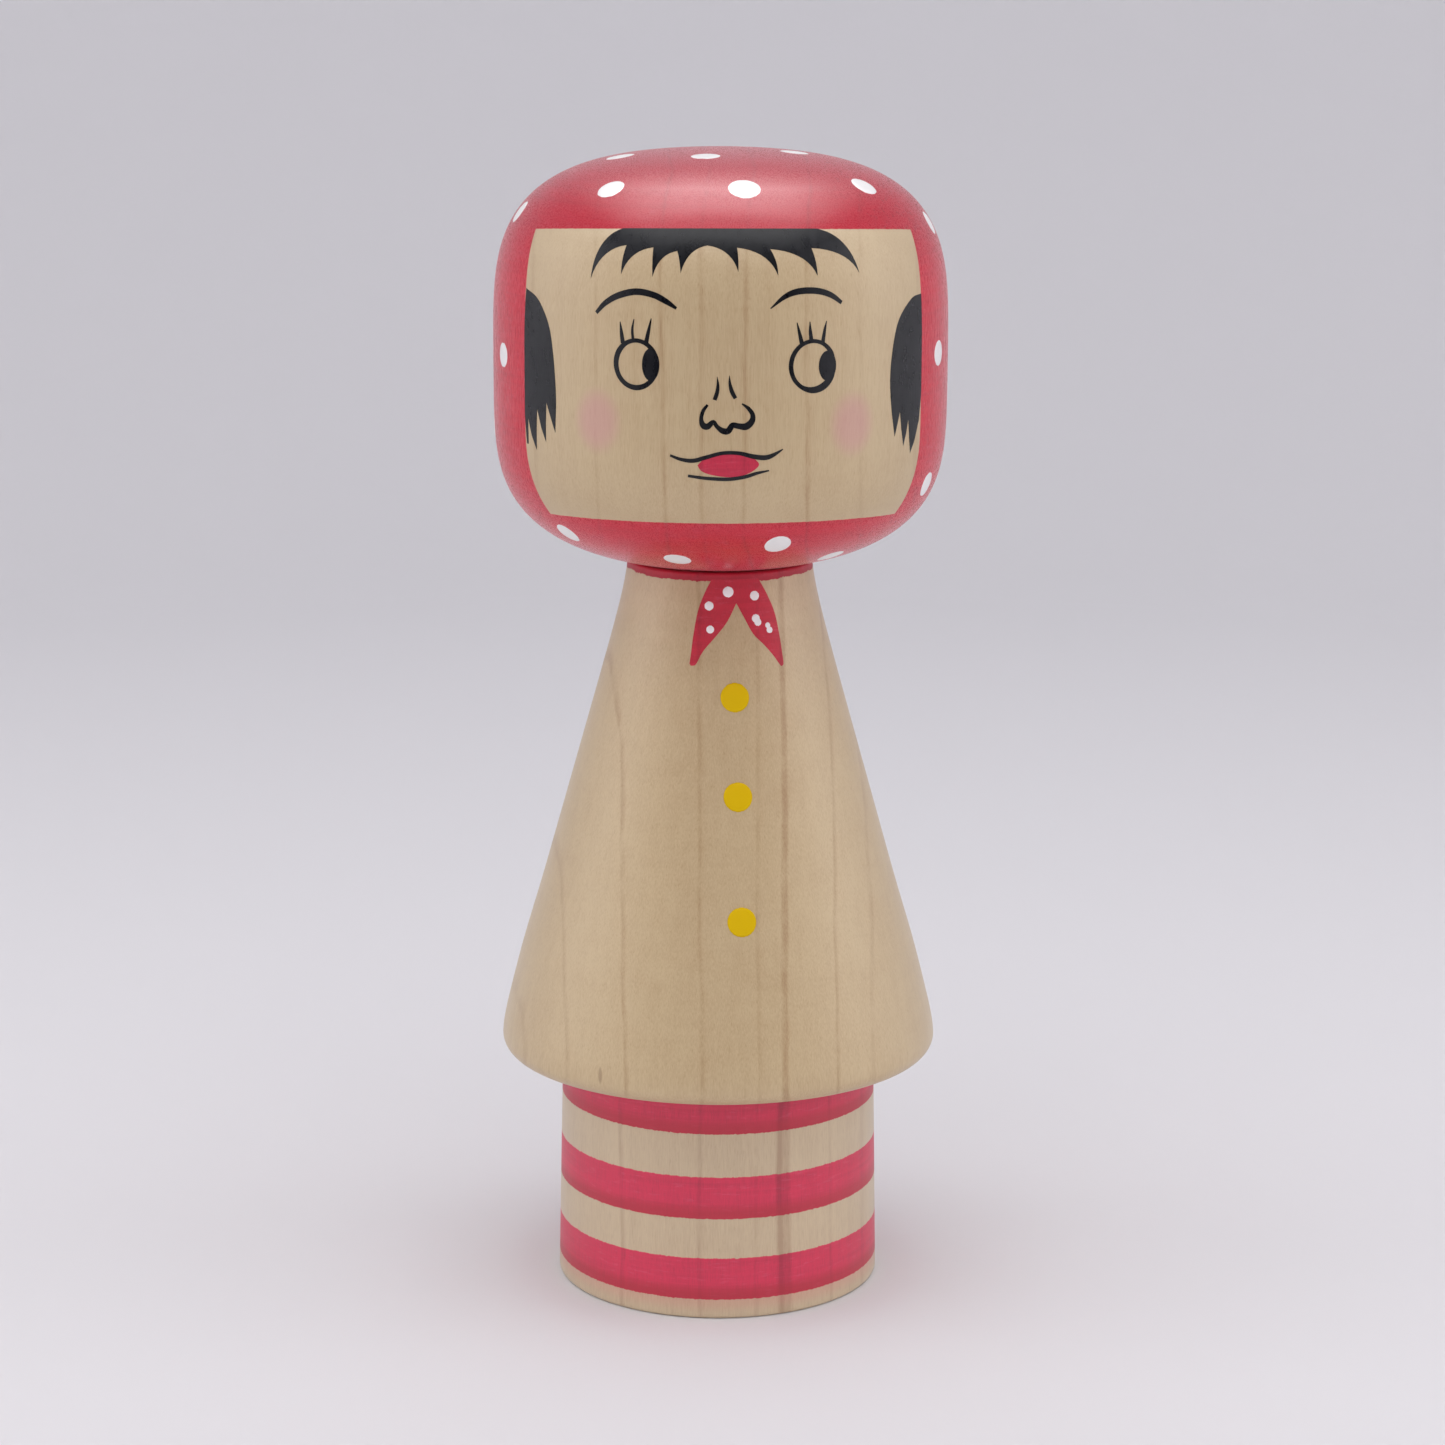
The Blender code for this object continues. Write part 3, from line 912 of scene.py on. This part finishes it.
TIE = (
    ((-2.95, 96.3), (-3.85, 94.6), (-4.8, 92.3), (-5.5, 89.3), (-5.9, 87.0), (-6.15, 85.75)),
    ((-6.0, 85.5), (-5.45, 85.55), (-5.1, 86.0), (-4.25, 87.4),
     (-2.65, 89.15), (-1.1, 91.0), (0.15, 93.3)),
    ((0.15, 93.3), (1.1, 91.5), (2.25, 89.4), (3.65, 88.0), (4.9, 86.6), (5.65, 85.6)),
    ((6.0, 85.15), (6.4, 85.35), (6.25, 87.0), (6.0, 88.9),
     (5.4, 91.8), (4.35, 94.2), (3.15, 96.3)),
)
# Azimuth, height and radius of the tie's dots; two of them are double touches of the brush
TIE_DOTS = (
    (5.0, 94.7, 0.72), (-6.1, 93.0, 0.6), (-5.1, 90.05, 0.52), (20.9, 94.1, 0.64),
    (20.7, 91.35, 0.56), (21.7, 90.85, 0.5), (27.5, 90.35, 0.38), (28.3, 89.75, 0.45),
)

# Azimuth, height and radius of the hood's dots, in rows from the crown down to the neck
HOOD_DOTS = (
    (-12.0, 149.6, 1.85), (-77.0, 149.1, 1.8), (82.0, 149.6, 1.8), (165.0, 149.5, 1.8),
    (-143.0, 149.2, 1.75), (7.8, 146.5, 2.0), (55.4, 146.2, 1.75), (-38.6, 146.1, 1.75),
    (118.0, 145.8, 1.8), (-170.0, 145.9, 1.75), (-120.0, 145.6, 1.8), (81.1, 141.0, 1.6),
    (-79.0, 142.3, 1.6), (150.0, 141.0, 1.7), (-146.0, 140.2, 1.65), (-69.6, 124.7, 1.55),
    (70.2, 125.1, 1.6), (101.0, 131.5, 1.65), (131.0, 127.0, 1.6), (163.0, 129.5, 1.7),
    (-165.0, 125.5, 1.65), (-132.0, 129.0, 1.6), (-101.0, 131.0, 1.65), (68.7, 108.4, 1.65),
    (95.0, 115.0, 1.6), (122.0, 110.0, 1.65), (152.0, 113.8, 1.6), (-177.0, 109.5, 1.65),
    (-147.0, 113.5, 1.6), (-116.0, 110.5, 1.6), (-88.0, 114.5, 1.65), (-51.4, 102.7, 1.7),
    (-14.5, 100.3, 1.75), (17.0, 102.8, 1.7), (44.1, 99.8, 1.75), (84.0, 101.6, 1.7),
    (112.0, 100.0, 1.65), (146.0, 102.0, 1.7), (176.0, 100.1, 1.65), (-150.0, 101.9, 1.7),
    (-118.0, 100.2, 1.65), (-85.0, 101.8, 1.7),
)


def raised(points):
    """Points of the face's sheet with v as a height."""
    return [(u, v + HEAD_MIDDLE_Z, *rest) for u, v, *rest in points]


# ---------------------------------------------------------------- the pieces
def keep(piece, body, slot, *nodes):
    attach(piece, body)
    if nodes:
        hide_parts(*nodes)


def build_wood():
    outside = head_outside()
    head = turned("head_turning", outside + tenon_outline(), head_material())
    keep(head, "head", "hood_red", "head")
    body = turned("body_turning", socket_outline() + body_outside() + [(0.0, 0.0)], body_material())
    keep(body, "body", "bare_wood", "body")
    return outside


def build_face(outside, ink):
    skin = Skin(outside, FACE_AZIMUTH, HEAD_GIRTH_RADIUS)
    hair = Shape()
    film(hair, skin, raised(fringe_outline()))
    for outline in side_hair_outlines():
        film(hair, skin, raised(outline))
    keep(hair.to_object("hair", ink), "head", "hair_black")

    brows = Shape()
    for brow in BROWS:
        stroke(brows, skin, raised(brow))
    keep(brows.to_object("brows", ink), "head", "hair_black")

    eyes = Shape()
    for eye in EYES:
        ring = ring_stroke(eye["centre"], eye["size"], eye["widths"])
        stroke(eyes, skin, raised(ring), closed=True)
        pupil = [(eye["pupil"][0] + eye["pupil_size"][0] * math.cos(a),
                  eye["pupil"][1] + eye["pupil_size"][1] * math.sin(a))
                 for a in np.linspace(0, math.tau, 28, endpoint=False)]
        film(eyes, skin, raised(pupil), INK_BUILD + 0.01)
    for lash in LASHES:
        stroke(eyes, skin, raised(lash), INK_BUILD + 0.005)
    keep(eyes.to_object("eyes", ink), "head", "hair_black")

    nose = Shape()
    for line in NOSE:
        stroke(nose, skin, raised(line))
    keep(nose.to_object("nose", ink), "head", "hair_black")

    mouth = Shape()
    for line in MOUTH:
        stroke(mouth, skin, raised(line), INK_BUILD + 0.01)
    keep(mouth.to_object("mouth_lines", ink), "head", "hair_black")

    lips = Shape()
    outline = [tuple(p) for p in spline(LIPS + LIPS[:1], 0.3)][:-1]
    film(lips, skin, raised(outline), INK_BUILD)
    keep(lips.to_object("lips", dyed_wood_material("lip_dye", HEAD_RINGS, HEAD_PITH, LIP_DYE)),
         "head", "hood_red")


def build_hood_dots(outside, white):
    skin = Skin(outside, 0.0)
    dots = Shape()
    for azimuth, z, radius in HOOD_DOTS:
        dab(dots, skin, azimuth, z, radius, DOT_BUILD)
    keep(dots.to_object("hood_dots", white, DAB_CREASE), "head", "dot_white")


def build_tie_and_buttons(white, yellow):
    outside = [p for p in body_outside() if p[1] > WIDEST_Z and p[1] < NECK_Z]
    skin = Skin(outside, FRONT_AZIMUTH)
    tie = Shape()
    outline = []
    for run in TIE:
        outline += [tuple(p) for p in spline(run, 0.4)]
    outline = list(dict.fromkeys(outline))
    film(tie, skin, outline, INK_BUILD, cell=0.5)
    keep(tie.to_object("tie", dyed_wood_material("tie_dye", BODY_RINGS, BODY_PITH, TIE_DYE)),
         "body", "hood_red")

    dots = Shape()
    for azimuth, z, radius in TIE_DOTS:
        dab(dots, skin, azimuth, z, radius, DOT_BUILD + INK_BUILD, rings=4, steps=20)
    keep(dots.to_object("tie_dots", white, DAB_CREASE), "body", "dot_white")

    for name, z in zip(("button_top", "button_middle", "button_bottom"), BUTTON_HEIGHTS):
        button = Shape()
        dab(button, skin, BUTTON_AZIMUTH, z, BUTTON_RADIUS, BUTTON_BUILD, rings=9, steps=56)
        keep(button.to_object(name, yellow, BUTTON_CREASE), "body", "button_yellow")


# ---------------------------------------------------------------- studio
def backdrop_material():
    g = Graph("studio_paper")
    place = g.add("ShaderNodeTexCoord", output=3)
    tooth = g.noise(g.scale(place, (900.0,) * 3), 2.0)
    return g.finish(rgb(0.77, 0.762, 0.79), 0.9, tooth, 0.02)


def build_studio():
    """A round paper sweep: flat underfoot, curving up to a wall that is behind every view."""
    floor_radius, cove_radius, wall_height = 500.0, 450.0, 900.0
    outline = [(0.0, 0.0), (floor_radius, 0.0)]
    outline += arc(floor_radius, cove_radius, cove_radius, -90, 0, 24)
    outline.append((floor_radius + cove_radius, wall_height))
    # Just under the base, so that the two never share a plane
    outline = [(r, z - 0.02) for r, z in reversed(outline)]
    sweep = turned("studio_sweep", outline, backdrop_material())
    sweep.data.flip_normals()

    world = bpy.data.worlds.new("studio_air")
    bpy.context.scene.world = world
    world.use_nodes = True
    world.node_tree.nodes["Background"].inputs["Color"].default_value = rgb(0.80, 0.79, 0.83)
    world.node_tree.nodes["Background"].inputs["Strength"].default_value = 0.53


def softbox(name, place, aim, size, watts, colour=(1.0, 0.99, 0.985)):
    """A square area light at place, in metres, that faces aim."""
    lamp = bpy.data.lights.new(name, "AREA")
    lamp.shape = "RECTANGLE"
    lamp.size, lamp.size_y = size
    lamp.energy = watts
    lamp.color = colour
    holder = bpy.data.objects.new(name, lamp)
    holder.location = place
    holder.rotation_euler = (Vector(aim) - Vector(place)).to_track_quat("-Z", "Y").to_euler()
    holder.visible_camera = False
    bpy.context.scene.collection.objects.link(holder)
    return holder


def build_lights():
    middle = (0.0, 0.0, 0.08)
    overhead = ((0.0, 0.20, 0.70), (0.0, 0.20, 0.0), (0.60, 0.42))
    softbox("top_panel", *overhead, 0.3)
    glint = softbox("top_glint", *overhead, 10.2)
    glint.visible_diffuse = False
    side_size = (0.40, 0.45)
    softbox("left_softbox", (-0.60, -0.05, 0.30), middle, side_size, 0.50)
    softbox("right_softbox", (0.60, -0.05, 0.30), middle, side_size, 0.55)
    front = softbox("front_fill", (0.0, -0.80, 0.35), middle, (0.9, 0.6), 1.15, (1.0, 0.96, 0.90))
    front.visible_glossy = False
    softbox("ceiling_front", (0.0, -0.30, 0.86), (0.0, -0.30, 0.0), (1.1, 0.72), 3.45)

    # A dark card stands in for the unlit room in front. Only reflections see it.
    card = Shape()
    for x, z in ((-420, 5), (420, 5), (420, 545), (-420, 545)):
        card.add((x, -450, z), (0, 1, 0))
    card.faces.append([0, 1, 2, 3])
    g = Graph("card_black")
    tooth = g.noise(g.scale(g.add("ShaderNodeTexCoord", output=3), (300.0,) * 3))
    card = card.to_object("dark_card", g.finish(rgb(0.02, 0.02, 0.02), 0.9, tooth, 0.01))
    card.visible_camera = False
    card.visible_diffuse = False
    card.visible_shadow = False


def build_camera():
    """Looks at the doll's middle from the front and a little above."""
    distance = 0.5019
    tilt = math.radians(12.34)
    lean = math.radians(0.21)
    side_step = 0.00042
    lens = bpy.data.cameras.new("camera")
    lens.lens = 94.9
    lens.sensor_width = 36.0
    camera = bpy.data.objects.new("camera", lens)
    middle = TOTAL_HEIGHT * MM / 2
    camera.location = (side_step, -distance * math.cos(tilt), middle + distance * math.sin(tilt))
    camera.rotation_euler = (math.pi / 2 - tilt, 0.0, 0.0)
    camera.rotation_euler.rotate_axis("Z", lean)
    bpy.context.scene.collection.objects.link(camera)
    bpy.context.scene.camera = camera


def build():
    scene = bpy.context.scene
    scene.view_settings.view_transform = "Standard"
    build_camera()
    ink = paint_material("ink_black", rgb(0.003, 0.0036, 0.0065), 0.30, 0.15, 0.010, 0.44)
    white = paint_material("dot_white", rgb(0.86, 0.85, 0.85), 0.38, 0.03, 0.002)
    yellow = paint_material("button_yellow", rgb(0.68, 0.445, 0.0), 0.40, 0.0, 0.004, 0.12)
    outside = build_wood()
    build_face(outside, ink)
    build_hood_dots(outside, white)
    build_tie_and_buttons(white, yellow)
    build_studio()
    build_lights()


build()
